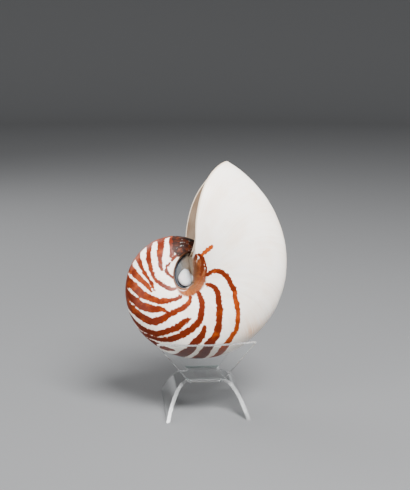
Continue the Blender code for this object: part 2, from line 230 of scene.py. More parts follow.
@dataclass(frozen=True)
class Spiral:
    """The shell's form: a logarithmic spiral that carries an even section."""

    lip_radius: float = 108.9 * MM
    lip_angle: float = 427.7
    growth_per_turn: float = 3.16
    flank_place: float = 0.437
    half_width: float = 0.375
    hub_place: float = 0.10
    hub_half_width: float = 0.25
    shoulder_end: float = 150.0
    hub_height: float = 14.0 * MM
    salient: float = 12.2
    wall: float = 1.8 * MM
    chamber_turn: float = 125.0
    blend_start: float = 112.0
    chamber_seam: float = 145.0
    core_seam: float = 80.0
    ripple: float = 0.10 * MM
    ripple_start: float = 25.0
    ripple_end: float = 95.0
    ripple_fade: float = 45.0
    waves: tuple[tuple[float, ...], ...] = ((41.0, 0.0, 0.4), (97.0, 60.0, 0.3), (17.0, 200.0, 0.5))
    pocket: Pocket = Pocket()

    def angle(self, growth: Array, phi: Array) -> Array:
        """Angle round the axis: growth, plus the lip's forward bow on the flanks."""
        return self.lip_angle - TURN + growth + self.salient * np.sin(np.radians(phi)) ** 2

    def radius(self, angle: Array) -> Array:
        """Keel radius, multiplied by growth_per_turn with each turn."""
        return self.lip_radius * self.growth_per_turn ** ((angle - self.lip_angle) / TURN)

    def section(self, phi: Array) -> tuple[Array, Array]:
        """Wall's place in the section, as shares of the whorl's radius.

        From keel to flank it is a quarter of an ellipse, from flank to hub
        another one that turns inwards.
        """
        inner = np.radians(np.clip(np.abs(phi) - 90.0, 0.0, 90.0))
        outer = np.radians(np.clip(np.abs(phi), 0.0, 90.0))
        rho = self.flank_place + (1.0 - self.flank_place) * np.cos(outer)
        rho = rho - (self.flank_place - self.hub_place) * np.sin(inner)
        width = self.half_width * np.sin(outer)
        width = width - (self.half_width - self.hub_half_width) * (1.0 - np.cos(inner))
        return rho, width

    def points(self, growth: Array, phi: Array, carved: bool) -> Array:
        """Points of the outer wall.

        Args:
            growth: 0 at the oldest open whorl, 360 at the lip.
            phi: -180 at the near hub, 0 at the keel, 180 at the far hub.
            carved: whether the hub's pocket is sunk into the wall.

        Returns:
            x, y, z in the shell's own frame, with the coil's axis along y.
        """
        growth, phi = np.broadcast_arrays(np.asarray(growth, float), np.asarray(phi, float))
        angle = self.angle(growth, phi)
        radius = self.radius(angle)
        rho, width = self.section(np.clip(phi, -self.shoulder_end, self.shoulder_end))
        closing = np.clip((np.abs(phi) - self.shoulder_end) / (POLE - self.shoulder_end), 0.0, 1.0)
        rho = rho * radius * (1.0 - closing)
        height = width * radius
        height = height + (self.hub_height - height) * smooth(closing)
        x = rho * np.cos(np.radians(angle))
        z = rho * np.sin(np.radians(angle))
        if carved:
            height = self.pocket.carve(x, z, height, growth)
        return np.stack([x, np.sign(phi) * height, z], axis=-1)

    def normals(self, growth: Array, phi: Array) -> Array:
        """Outward directions: the cross product of steps around and along."""
        step = 0.2
        along = self.points(growth + step, phi, False) - self.points(growth - step, phi, False)
        around = self.points(growth, phi + step, False) - self.points(growth, phi - step, False)
        normals = np.cross(around, along)
        return normals / np.linalg.norm(normals, axis=-1, keepdims=True)

    def ripples(self, growth: Array, phi: Array) -> Array:
        """Height of the growth lines: a sum of sines of the growth angle.

        Each wave has a pace, a start in degrees and a share. They fade out
        towards the hub and stay level along each line.
        """
        waves = sum(share * np.sin(np.radians(growth * pace + start)) for pace, start, share in self.waves)
        fade = 1.0 - smooth((np.abs(phi) - self.ripple_end) / self.ripple_fade)
        return self.ripple * waves * fade * smooth(growth / self.ripple_start)

    def skin(self, growth: Array, phi: Array) -> Array:
        """Outer wall with pocket and growth lines."""
        plain = self.points(growth, phi, True)
        growth, phi = np.broadcast_arrays(np.asarray(growth, float), np.asarray(phi, float))
        limited = np.clip(phi, -self.chamber_seam, self.chamber_seam)
        return plain + self.normals(growth, limited) * self.ripples(growth, phi)[..., None]

    def chamber(self, growth: Array, phi: Array) -> Array:
        """Inside of the living chamber: the outer wall moved in by its thickness.

        Towards the hub it eases over to the older whorl's flank.
        """
        moved = self.points(growth, phi, False) - self.wall * self.normals(growth, phi)
        seam = self.points(growth - TURN, np.sign(phi) * self.core_seam, False)
        share = smooth((np.abs(phi) - self.blend_start) / (self.chamber_seam - self.blend_start))
        return moved + (seam - moved) * share[..., None]


@dataclass(frozen=True)
class Stripe:
    """One painted band, run through points of the shell's surface.

    Each point is an angle round the axis, 180 at the left and 270 below, a
    place in the section, 0 at the keel and 180 at the hub, and the band's
    width there in millimetres.
    """

    points: tuple[tuple[float, float, float], ...]
    tone: float = 0.6
    steps: int = 8

    def line(self, spiral: Spiral) -> tuple[Array, Array]:
        """Points along the band's middle, and half its width at each.

        The way through the given points is a uniform Catmull-Rom curve, and
        the band ends round.

        Args:
            spiral: the form on which the band lies.

        Returns:
            Points on the far side's surface, and the half widths.
        """
        given = np.array(self.points, float)
        padded = np.vstack([2 * given[0] - given[1], given, 2 * given[-1] - given[-2]])
        t = (np.arange(self.steps) / self.steps)[None, :, None]
        p0, p1, p2, p3 = (padded[i:len(padded) - 3 + i, None, :] for i in range(4))
        curve = 0.5 * (2 * p1 + (p2 - p0) * t + (2 * p0 - 5 * p1 + 4 * p2 - p3) * t ** 2
                       + (3 * p1 - p0 - 3 * p2 + p3) * t ** 3)
        curve = np.vstack([curve.reshape(-1, 3), given[-1:]])
        growth = curve[:, 0] - spiral.angle(0.0, curve[:, 1])
        return spiral.points(growth, np.abs(curve[:, 1]), True), curve[:, 2] * MM / 2.0


def distance_to_line(places: Array, line: Array, half: Array) -> Array:
    """How far each place lies inside a band round a line.

    For every straight piece of the line the nearest point is the place's
    projection, held between the piece's ends. The result is the largest of
    half width less distance, so it is positive inside the band.
    """
    best = np.full(len(places), -1.0)
    for start, end, wide_a, wide_b in zip(line[:-1], line[1:], half[:-1], half[1:]):
        span = end - start
        share = np.clip((places - start) @ span / max(span @ span, 1e-12), 0.0, 1.0)
        gap = np.linalg.norm(places - start - share[:, None] * span, axis=1)
        best = np.maximum(best, wide_a + (wide_b - wide_a) * share - gap)
    return best


STRIPES = (
    # The long bands on the flank, from the youngest to the oldest
    Stripe(((366, 138, 2), (371, 122, 3.2), (364, 107, 3.4), (352, 94, 3.4), (343, 85, 3.8), (333, 78, 3.8),
            (318, 59, 3.8), (311, 49, 4.2), (303, 40, 5), (296, 28, 6.5), (288, 0, 8)), 0.25),
    Stripe(((366, 138, 2.6), (371, 122, 3.8), (364, 107, 4.2), (352, 94, 4.2), (343, 85, 4.2)), 0.75),
    Stripe(((339, 132, 2.5), (337, 114, 4.2), (320, 91, 4.9), (306, 74, 5.1), (295, 55, 6.2), (288, 45, 7.4),
            (282, 27, 9), (276, 0, 10)), 0.7),
    Stripe(((306, 134, 2.9), (301, 114, 4.2), (291, 90, 4.8), (284, 79, 5.2), (269, 64, 5.4), (258, 50, 5.2),
            (245, 32, 4), (236, 20, 4), (228, 0, 6)), 0.75),
    Stripe(((288, 71, 2.8), (284, 61, 5.2), (276, 48, 6.6), (269, 28, 8.2), (262, 0, 9)), 0.8),
    Stripe(((280, 126, 2.5), (272, 110, 3.8), (257, 92, 4.2), (244, 79, 4.8), (231, 52, 6.2), (220, 40, 6.6),
            (209, 26, 6.8), (196, 0, 8)), 0.6),
    Stripe(((243, 79, 2.2), (229, 75, 3.8), (219, 62, 6.4), (210, 50, 6.7), (199, 34, 6.6),
            (186, 0, 7.5)), 0.6),
    Stripe(((273, 83, 1.5), (265, 77, 4.6), (257, 66, 5), (249, 55, 4.9), (240, 39, 4.9), (230, 26, 5.4),
            (218, 10, 6), (212, 0, 7)), 0.75),
    Stripe(((249, 120, 3.2), (235, 101, 3.5), (220, 82, 4.6), (206, 68, 5.4), (195, 52, 6.5), (186, 38, 7),
            (176, 0, 8)), 0.55),
    Stripe(((221, 126, 2.9), (205, 108, 3.4), (188, 89, 3), (176, 78, 2.7), (164, 69, 3.4), (152, 55, 3.8),
            (139, 33, 4.6), (130, 0, 7)), 0.65),
    Stripe(((158, 87, 2), (144, 74, 3.6), (132, 58, 4.6), (122, 36, 5.9), (115, 0, 8)), 0.65),
    Stripe(((201, 80, 0.9), (186, 75, 2.1), (175, 65, 2.8), (165, 50, 3.2), (157, 33, 4), (147, 0, 6)), 0.6),
    Stripe(((200, 74, 0.9), (188, 67, 3.4), (180, 55, 4.6), (172, 36, 5.9), (164, 0, 8)), 0.5),
    Stripe(((259, 25, 2.2), (254, 21, 5), (248, 15, 7), (242, 8, 8), (237, 0, 9)), 0.85),
    # The blurred belt over the keel where the oldest bands run together
    Stripe(((174, 5, 3), (158, 5, 5), (140, 4, 6), (124, 4, 8), (106, 4, 9)), 0.3),
    # The short marks by the hub and under the lip
    Stripe(((122, 79, 2.2), (115, 71, 4), (110, 56, 5), (106, 36, 6)), 0.8),
    Stripe(((90, 76, 2), (112, 81, 2.3), (130, 90, 1.9), (150, 94, 2.1), (162, 106, 2.4),
            (174, 128, 1.8)), 0.85),
    Stripe(((428, 141, 2), (427, 150, 4.6), (418, 158, 5), (396, 164, 4), (370, 166, 2)), 0.95),
    Stripe(((421, 136, 1.8), (407, 141, 2.5), (390, 148, 3), (369, 154, 2.1)), 0.9),
    Stripe(((417, 135, 1.4), (399, 137, 1.4), (380, 140, 1.3), (356, 144, 1.3)), 0.8),
    Stripe(((410, 113, 2.9), (412, 122, 3.2), (416, 133, 2.4)), 0.0),
)
CALLUS = Stripe(((222, 136, 2), (250, 134, 4), (278, 139, 8), (310, 152, 12), (340, 155, 13), (371, 156, 13),
                 (398, 153, 9), (412, 146, 5)))


@dataclass
class Shell:
    """The whole shell: outer wall, living chamber, last septum, lip and hubs."""

    spiral: Spiral = Spiral()
    stripes: tuple[Stripe, ...] = STRIPES
    callus: Stripe = CALLUS
    centre: tuple[float, float, float] = (-16.0 * MM, 11.1 * MM, 108.85 * MM)
    lean: float = -17.5
    yaw: float = 1.3
    rings: int = 288
    coarse_step: float = 2.0
    fine_step: float = 1.2
    fine_from: float = 104.0
    last_column: float = 177.2
    lip_rows: int = 5
    lip_push: float = 0.45
    lip_fade: float = 15.0
    septum_rows: int = 14
    septum_depth: float = 17.0 * MM
    septum_centre: float = 0.60
    siphon_depth: float = 3.0 * MM
    painted_from: float = -30.0
    far_shift: float = 4.0
    far_pace: float = 2.3
    far_fade: float = 50.0
    film_start: float = 20.0
    film_start_fade: float = 25.0
    film_end: float = 116.0
    film_slant: float = 6.0 / 69.0
    film_end_fade: float = 26.0
    film_hub: float = 92.0
    film_hub_fade: float = 16.0
    flush_place: tuple[float, float] = (320.0, 30.0)
    flush_size: tuple[float, float] = (8.0, 15.0)
    builder: MeshBuilder = field(default_factory=MeshBuilder)
    growths: list[Array] = field(default_factory=list)
    phis: list[Array] = field(default_factory=list)

    def columns(self) -> Array:
        """Places in the section: even steps, finer towards the hubs."""
        coarse = np.arange(0.0, self.fine_from, self.coarse_step)
        fine = np.arange(self.fine_from, self.last_column, self.fine_step)
        half = np.concatenate([coarse, fine])
        return np.concatenate([-half[:0:-1], half])

    def place(self, points: Array, growth: Array, phi: Array) -> Array:
        """Add points together with the growth and section place they stand for."""
        shape = np.asarray(points).shape[:-1]
        self.growths.append(np.broadcast_to(np.asarray(growth, float), shape).reshape(-1))
        self.phis.append(np.broadcast_to(np.asarray(phi, float), shape).reshape(-1))
        return self.builder.add(points)

    def lay(self, form: Callable[[Array, Array], Array], growth: Array, phi: Array) -> Array:
        """Add a grid of points of one form, a row for each growth."""
        return self.place(form(growth[:, None], phi), growth[:, None], phi)

    def lip(self, wall: Array, room: Array, phi: Array) -> Array:
        """Round the lip over from the outer wall to the chamber.

        Each row lies a half turn's share of the way across, pushed forward in
        the direction of growth by the sine of that turn. The push fades at
        both ends, where the lip runs into the hub.

        Args:
            wall: indices of the outer wall's last row.
            room: indices of the chamber's last row.
            phi: section places of both.

        Returns:
            All rows of indices, from wall to room.
        """
        points = self.builder.all_points()
        outer, inner = points[wall], points[room]
        ahead = self.spiral.points(TURN + 0.5, phi, False) - self.spiral.points(TURN - 0.5, phi, False)
        ahead = ahead / np.linalg.norm(ahead, axis=-1, keepdims=True)
        fade = 1.0 - smooth((np.abs(phi) - self.spiral.blend_start + self.lip_fade) / (2.0 * self.lip_fade))
        push = (self.lip_push * self.spiral.wall * fade)[:, None] * ahead
        rows = [wall]
        for step in range(1, self.lip_rows):
            turn = math.pi * step / self.lip_rows
            row = outer + (inner - outer) * (1.0 - math.cos(turn)) / 2.0 + push * math.sin(turn)
            rows.append(self.place(row, TURN, phi))
        return np.stack(rows + [room])

    def septum(self, loop: Array, growth: float) -> None:
        """Close the chamber with a bowl that is hollow towards the lip.

        Rows shrink evenly to the middle and sink as a parabola, and the last
        rows sink further, into the small hole of the siphon.
        """
        ring = self.builder.all_points()[loop]
        angle = self.spiral.lip_angle - self.spiral.chamber_turn
        turn = math.radians(angle)
        place = self.septum_centre * self.spiral.radius(angle)
        centre = place * np.array([math.cos(turn), 0.0, math.sin(turn)])
        back = np.array([math.sin(turn), 0.0, -math.cos(turn)])
        before = loop
        for step in range(1, self.septum_rows):
            share = step / self.septum_rows
            depth = self.septum_depth * (1.0 - (1.0 - share) ** 2)
            current = self.place(ring + (centre - ring) * share + back * depth, growth, 90.0)
            rows = np.stack([np.append(before, before[0]), np.append(current, current[0])])
            self.builder.grid(rows, Surface.PEARL, flip=True)
            before = current
        hole = centre + back * (self.septum_depth + self.siphon_depth)
        tip = self.place(hole[None, :], growth, 90.0)[0]
        self.builder.fan(tip, np.append(before, before[0]), Surface.PEARL, flip=True)

    def build(self) -> bpy.types.Object:
        """Make the mesh as one closed surface, in place over the stand."""
        spiral = self.spiral
        phi = self.columns()
        growth = np.linspace(0.0, TURN, self.rings + 1)
        wall = self.lay(spiral.skin, growth, phi)
        self.builder.grid(wall, Surface.SKIN)
        ends = np.array([-POLE, POLE])
        poles = self.place(spiral.points(np.zeros(2), ends, True), 0.0, ends)
        self.builder.fan(poles[0], wall[:, 0], Surface.SKIN)
        self.builder.fan(poles[1], wall[:, -1], Surface.SKIN, flip=True)

        steps = round(spiral.chamber_turn / TURN * self.rings)
        back_growth = np.linspace(-spiral.chamber_turn, 0.0, steps + 1)
        core_at = np.flatnonzero(np.abs(phi) <= spiral.core_seam)
        core = np.vstack([self.lay(spiral.skin, back_growth[:-1], phi[core_at]), wall[0, core_at]])
        self.builder.grid(core, Surface.PEARL)

        room_at = np.flatnonzero(np.abs(phi) <= spiral.chamber_seam)
        room_growth = back_growth + TURN
        room = self.lay(spiral.chamber, room_growth, phi[room_at[1:-1]])
        room = np.hstack([core[:, :1], room, core[:, -1:]])
        self.builder.grid(room, Surface.PEARL, flip=True)
        self.septum(np.concatenate([room[0], core[0, -2:0:-1]]), room_growth[0])

        rows = self.lip(wall[-1, room_at], room[-1], phi[room_at])
        self.builder.grid(rows, Surface.SKIN)
        near, far = room_at[0], room_at[-1]
        near_lip = np.append(wall[-1, near::-1], poles[0])
        near_core = np.concatenate([rows[1:, 0], wall[0, core_at[0] - 1::-1], poles[:1]])
        far_lip = np.append(wall[-1, far:], poles[1])
        far_core = np.concatenate([rows[1:, -1], wall[0, core_at[-1] + 1:], poles[1:]])
        self.builder.zip(near_core, near_lip, Surface.SKIN)
        self.builder.zip(far_lip, far_core, Surface.SKIN)

        local = self.builder.all_points()
        mesh = self.builder.mesh("shell_body", self.placed(local))
        self.mark(mesh, local)
        mesh.shade_smooth()
        return show("shell_body", mesh)

    def placed(self, local: Array) -> Array:
        """Lean, turn and carry points to their place over the stand."""
        about_x = Matrix.Rotation(math.radians(self.lean), 3, "X")
        about_z = Matrix.Rotation(math.radians(self.yaw), 3, "Z")
        return local @ np.array(about_z @ about_x).T + np.array(self.centre) + stand_middle()

    def mark(self, mesh: bpy.types.Mesh, local: Array) -> None:
        """Store the markings' values on the points.

        Bands are signed distances in millimetres. On the far side they are
        looked up a few degrees round the coil, by a slow sine of the angle
        that fades out at the keel, so the two sides differ. The film fades
        out with the angle and towards the hub, and the flush is a bell curve
        of the angle and the section place.
        """
        growth, phi = np.concatenate(self.growths), np.concatenate(self.phis)
        angle = self.spiral.angle(growth, phi)
        shift = self.far_shift * np.sin(np.radians(angle * self.far_pace)) * smooth(phi / self.far_fade)
        moved = self.spiral.points(growth + shift, np.abs(phi), True)
        places = np.where((phi > 0.0)[:, None], moved, np.abs(local) * [0, 1, 0] + local * [1, 0, 1])
        inside = np.full(len(local), -1.0)
        tone = np.zeros(len(local))
        on_skin = growth >= self.painted_from
        for stripe in self.stripes:
            depth = np.full(len(local), -1.0)
            depth[on_skin] = distance_to_line(places[on_skin], *stripe.line(self.spiral))
            tone = np.where(depth > inside, stripe.tone, tone)
            inside = np.maximum(inside, depth)
        reach = self.spiral.pocket.reach(local[:, 0], local[:, 2], growth)
        film = smooth((self.film_end + self.film_slant * np.abs(phi) - angle) / self.film_end_fade)
        film = film * smooth((angle - self.film_start) / self.film_start_fade)
        flush = ((angle - self.flush_place[0]) / self.flush_size[0]) ** 2
        flush = flush + ((np.abs(phi) - self.flush_place[1]) / self.flush_size[1]) ** 2
        callus = distance_to_line(places, *self.callus.line(self.spiral))
        values = {
            "band_depth": np.clip(inside / MM, -12.0, 6.0),
            "band_tone": tone,
            "hub_reach": np.minimum(reach, 4.0),
            "callus": np.clip(callus / MM, -6.0, 6.0),
            "film": film * smooth((self.film_hub - np.abs(phi)) / self.film_hub_fade),
            "knob": self.spiral.pocket.knob(local[:, 0], local[:, 2]),
            "hub_side": local[:, 0] / (10.0 * MM),
            "hub_rise": local[:, 2] / (10.0 * MM),
            "flush": np.exp(-flush),
            "growth": growth,
            "around": phi,
        }
        for name, numbers in values.items():
            attribute = mesh.attributes.new(name, "FLOAT", "POINT")
            attribute.data.foreach_set("value", numbers.astype(np.float32))


def stand_middle() -> Array:
    """The stand's middle on the floor, from the frame."""
    low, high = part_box("acrylic_stand")
    return np.array([(low.x + high.x) / 2.0, (low.y + high.y) / 2.0, 0.0])


@dataclass
class Sheet:
    """The stand: one acrylic sheet, cut from a square and bent on four sides."""

    thickness: float = 3.0 * MM
    plate_half: float = 15.0 * MM
    plate_height: float = 28.2 * MM
    wing_end_half: float = 41.5 * MM
    wing_end_sag: float = 2.0 * MM
    notch_radius: float = 2.6 * MM
    flap_bend_radius: float = 4.0 * MM
    flap_angle: float = 79.8
    flap_straight: float = 33.4 * MM
    leg_bend_radius: float = 6.0 * MM
    leg_knee_radius: float = 18.0 * MM
    leg_start_angle: float = 26.0
    leg_knee_angle: float = 57.0
    leg_end_angle: float = 76.0
    foot_cut: float = 0.7 * MM
    edge_round: float = 0.3 * MM
    corner_angle: float = 50.0
    # Slopes of a flap's fold that carry a painted highlight.
    painted_highlight_from: float = 42.0
    painted_highlight_to: float = 60.0
    rows: int = 44
    notch_rows: int = 7
    across: int = 32
    builder: MeshBuilder = field(default_factory=MeshBuilder)

    @property
    def level(self) -> float:
        """Height of the plate's middle."""
        return self.plate_height - self.thickness / 2.0

    def flap_bends(self) -> Array:
        """Lengths and turns of a tight fold upwards and a straight flap."""
        fold = self.flap_bend_radius * math.radians(self.flap_angle)
        return np.array([[fold, self.flap_angle], [self.flap_straight, 0.0]])

    def leg_bends(self) -> Array:
        """Lengths and turns of a short bend, a knee and a long gentle curve.

        The last curve's radius makes the leg end on the floor, a little below
        it by foot_cut, because the foot is then cut flat.
        """
        first, knee, last = np.radians([self.leg_start_angle, self.leg_knee_angle, self.leg_end_angle])
        drop = self.level + self.foot_cut
        drop -= self.leg_bend_radius * (1.0 - math.cos(first))
        drop -= self.leg_knee_radius * (math.cos(first) - math.cos(knee))
        shin_radius = drop / (math.cos(knee) - math.cos(last))
        return np.array([
            [self.leg_bend_radius * first, -self.leg_start_angle],
            [self.leg_knee_radius * (knee - first), self.leg_start_angle - self.leg_knee_angle],
            [shin_radius * (last - knee), self.leg_knee_angle - self.leg_end_angle],
        ])

    def follow(self, distance: Array, bends: Array) -> tuple[Array, Array, Array]:
        """Run along a bent sheet.

        Every bend adds the chord of the arc covered in it, laid at the middle
        of the slopes at its two ends.

        Args:
            distance: how far from the plate's edge, along the sheet.
            bends: a length and a turn in degrees for each bend.

        Returns:
            How far out, how high, and the slope in degrees.
        """
        out, up, slope = (np.zeros_like(distance) for _ in range(3))
        left = distance.copy()
        for length, turn in bends:
            part = np.clip(left, 0.0, length)
            share = turn * part / length
            half = np.radians(share) / 2.0
            chord = part * np.sinc(half / math.pi)
            middle = np.radians(slope) + half
            out += chord * np.cos(middle)
            up += chord * np.sin(middle)
            slope += share
            left -= part
        return out, up, slope

    def tangent(self, length: float) -> tuple[float, float]:
        """Where the notch's round end meets its straight edge."""
        rise = self.wing_end_half - self.plate_half
        angle = math.atan2(rise, length) - math.acos(self.notch_radius / math.hypot(length, rise))
        return self.notch_radius * math.cos(angle), self.plate_half + self.notch_radius * math.sin(angle)

    def half_width(self, distance: Array, length: float) -> Array:
        """Half the wing: a circle's edge at the notch, then a straight line."""
        reach, width = self.tangent(length)
        near = self.plate_half - np.sqrt(np.clip(self.notch_radius ** 2 - distance ** 2, 0.0, None))
        far = width + (self.wing_end_half - width) * (distance - reach) / (length - reach)
        return np.where(distance <= reach, near, far)

    def wing(self, bends: Array, quarter: int) -> tuple[Array, Array]:
        """Middle points and normals of one wing.

        Rows run from the plate's edge to the end and columns across. The end
        is hollowed by a parabola, shared evenly among the rows.
        """
        length = float(bends[:, 0].sum())
        reach = self.tangent(length)[0]
        stations = np.concatenate([
            np.linspace(0.0, reach, self.notch_rows, endpoint=False),
            np.linspace(reach, length, self.rows),
        ])[:, None]
        column = np.linspace(-1.0, 1.0, self.across + 1)[None, :]
        shorter = self.wing_end_sag * (1.0 - column ** 2) * stations / length
        out, up, slope = self.follow(stations - shorter, bends)
        turn = math.radians(90.0 * quarter)
        ahead = np.array([math.cos(turn), math.sin(turn), 0.0])
        side = np.array([-math.sin(turn), math.cos(turn), 0.0])
        rise = np.array([0.0, 0.0, 1.0])
        aside = self.half_width(stations, length) * column
        points = ahead * (self.plate_half + out)[..., None] + side * aside[..., None]
        points = points + rise * (self.level + up)[..., None]
        lean = np.radians(slope)[..., None]
        return points, rise * np.cos(lean) - ahead * np.sin(lean)

    def notch_arc(self, quarter: int) -> Array:
        """The round end of the notch that follows a wing, at mid thickness."""
        turn = math.radians(90.0 * quarter)
        cos, sin = math.cos(turn), math.sin(turn)
        centre = self.plate_half * np.array([cos - sin, sin + cos])
        arc = turn + math.pi + math.pi / 2.0 * (1.0 - np.arange(1, self.notch_rows) / self.notch_rows)
        return np.column_stack([centre[0] + self.notch_radius * np.cos(arc),
                                centre[1] + self.notch_radius * np.sin(arc),
                                np.full(len(arc), self.level)])

    def build(self) -> bpy.types.Object:
        """Make the sheet: both faces, the cut edges, then rounded corners."""
        middle = stand_middle()
        rise = np.array([0.0, 0.0, 1.0])
        outline: dict[int, list[Array]] = {1: [], -1: []}
        for quarter in range(4):
            bends = self.leg_bends() if quarter % 2 == 0 else self.flap_bends()
            points, normals = self.wing(bends, quarter)
            arc = self.notch_arc(quarter)
            sides = {}
            for sign in (1, -1):
                away = sign * self.thickness / 2.0
                sides[sign] = self.builder.add(points + normals * away + middle)
                # A flap's under face gets a painted highlight along its fold.
                self.face(sides[sign], normals, flip=sign > 0, painted_highlight=sign < 0 and quarter % 2 == 1)
                corner = self.builder.add(arc + rise * away + middle)
                outline[sign].append(np.concatenate([sides[sign][0], corner]))
            for edge, flip in ((np.s_[:, 0], True), (np.s_[:, -1], False), (np.s_[-1, :], True)):
                self.builder.grid(np.stack([sides[1][edge], sides[-1][edge]]), Cut.EDGE_AND_HIGHLIGHT, flip=flip)
        top, under = (np.concatenate(outline[sign]) for sign in (1, -1))
        self.builder.collect(top[None, :], Cut.FACE)
        self.builder.collect(under[None, ::-1], Cut.FACE)
        per_side = self.across + self.notch_rows
        ends = np.flatnonzero(np.arange(len(top)) % per_side >= self.across)
        after = (ends + 1) % len(top)
        self.builder.collect(np.column_stack([top[ends], under[ends], under[after], top[after]]), Cut.EDGE_AND_HIGHLIGHT)
        mesh = self.builder.mesh("stand_sheet", self.builder.all_points())
        self.cut_feet(mesh)
        mesh.shade_smooth()
        stand = show("stand_sheet", mesh)
        rounding = stand.modifiers.new("polished_corners", "BEVEL")
        rounding.width = self.edge_round
        rounding.segments = 2
        rounding.limit_method = "ANGLE"
        rounding.angle_limit = math.radians(self.corner_angle)
        rounding.harden_normals = True
        return stand

    def face(self, indices: Array, normals: Array, flip: bool, painted_highlight: bool) -> None:
        """Cover one face of a wing, with a painted highlight along a flap's fold.

        The painted highlight takes the edge finish on the rows whose slope, the arc cosine of the normal's
        height, lies between its first and last slope.
        """
        slope = np.degrees(np.arccos(np.clip(normals[:, normals.shape[1] // 2, 2], -1.0, 1.0)))
        first, last = np.searchsorted(slope, (self.painted_highlight_from, self.painted_highlight_to))
        if not painted_highlight:
            self.builder.grid(indices, Cut.FACE, flip=flip)
            return
        self.builder.grid(indices[:first + 1], Cut.FACE, flip=flip)
        # Painted highlight along the fold.
        self.builder.grid(indices[first:last + 1], Cut.EDGE_AND_HIGHLIGHT, flip=flip)
        self.builder.grid(indices[last:], Cut.FACE, flip=flip)

    def cut_feet(self, mesh: bpy.types.Mesh) -> None:
        """Cut the legs' corners off along the floor and close the cuts."""
        work = bmesh.new()
        work.from_mesh(mesh)
        cut = bmesh.ops.bisect_plane(
            work, geom=[*work.verts, *work.edges, *work.faces], dist=1e-7,
            plane_co=(0.0, 0.0, 0.0), plane_no=(0.0, 0.0, -1.0), clear_outer=True)
        edges = [item for item in cut["geom_cut"] if isinstance(item, bmesh.types.BMEdge)]
        for face in bmesh.ops.contextual_create(work, geom=edges)["faces"]:
            face.material_index = Cut.EDGE_AND_HIGHLIGHT.value
            face.normal_update()
            if face.normal.z > 0.0:
                face.normal_flip()
        work.to_mesh(mesh)
        work.free()


class Tree:
    """A short way to write a node tree."""

    def __init__(self, tree: bpy.types.NodeTree) -> None:
        """Write into the tree."""
        self.tree = tree

    def node(
        self, kind: str, inputs: dict[str | int, Value] | None = None, **settings: object,
    ) -> bpy.types.Node:
        """Add a node.

        Args:
            kind: the node's type name without its prefix.
            inputs: a value or an output for each input, by name or number.
            settings: the node's own options.

        Returns:
            The node.
        """
        node = self.tree.nodes.new("ShaderNode" + kind)
        for name, setting in settings.items():
            setattr(node, name, setting)
        for key, value in (inputs or {}).items():
            self.put(node.inputs[key], value)
        return node

    def put(self, socket: Socket, value: Value) -> None:
        """Link an output to an input, or write a value into it."""
        if isinstance(value, Socket):
            self.tree.links.new(value, socket)
        else:
            socket.default_value = value

    def attribute(self, name: str) -> Socket:
        """A value that is kept on the mesh's points."""
        return self.node("Attribute", attribute_name=name).outputs["Fac"]

    def math(self, operation: str, *values: Value) -> Socket:
        """A sum, product or the like of up to three values."""
        return self.node("Math", dict(enumerate(values)), operation=operation).outputs[0]

    def times(self, first: Value, second: Value) -> Socket:
        """One value times another."""
        return self.math("MULTIPLY", first, second)

    def plus(self, first: Value, second: Value) -> Socket:
        """One value plus another."""
        return self.math("ADD", first, second)

    def ease(self, value: Value, low: float, high: float, start: float = 0.0) -> Socket:
        """From start, 0 or 1, below low to the other above high, by an even ease."""
        inputs = {"Value": value, "From Min": low, "From Max": high, "To Min": start, "To Max": 1.0 - start}
        return self.node("MapRange", inputs, interpolation_type="SMOOTHSTEP").outputs["Result"]

    def fall(self, value: Value, low: float, high: float) -> Socket:
        """1 below low, 0 above high and an even ease between them."""
        return self.ease(value, low, high, 1.0)

    def mix(self, share: Value, first: Value, second: Value) -> Socket:
        """A colour between two."""
        return self.node("Mix", {0: share, 6: first, 7: second}, data_type="RGBA").outputs[2]

    def blend(self, share: Value, first: Value, second: Value) -> Socket:
        """A number between two."""
        return self.node("Mix", {0: share, 2: first, 3: second}, data_type="FLOAT").outputs[0]

    def noise(
        self, place: Value, scale: float, detail: float = 2.0, rough: float = 0.5,
    ) -> Socket:
        """Cloudy values round a half, with spots of about one over scale."""
        inputs = {"Vector": place, "Scale": scale, "Detail": detail, "Roughness": rough}
        return self.node("TexNoise", inputs).outputs[0]

    def scatter(
        self, place: Value, scale: float, spread: float, detail: float = 2.0, rough: float = 0.5,
    ) -> Socket:
        """Cloudy values round nought, a half less and a half more of spread."""
        noise = self.noise(place, scale, detail, rough)
        return self.times(self.math("SUBTRACT", noise, 0.5), spread)

    def bump(self, height: Value, strength: float, distance: float) -> Socket:
        """A normal that is tilted by a height."""
        inputs = {"Height": height, "Strength": strength, "Distance": distance}
        return self.node("Bump", inputs).outputs[0]

    def finish(self, shader: bpy.types.Node, colour: Value, rough: Value, normal: Value) -> None:
        """Feed a shader with its colour, roughness and normal."""
        for name, value in (("Base Color", colour), ("Roughness", rough), ("Normal", normal)):
            self.put(shader.inputs[name], value)

    def place(self) -> Socket:
        """The point's place in the piece, in metres."""
        return self.node("TexCoord").outputs["Object"]

    def group(self, made: bpy.types.NodeTree, **inputs: Value) -> bpy.types.Node:
        """Place a group, with its inputs by name, spaces written as underscores."""
        node = self.node("Group", node_tree=made)
        for name, value in inputs.items():
            self.put(node.inputs[name.replace("_", " ")], value)
        return node


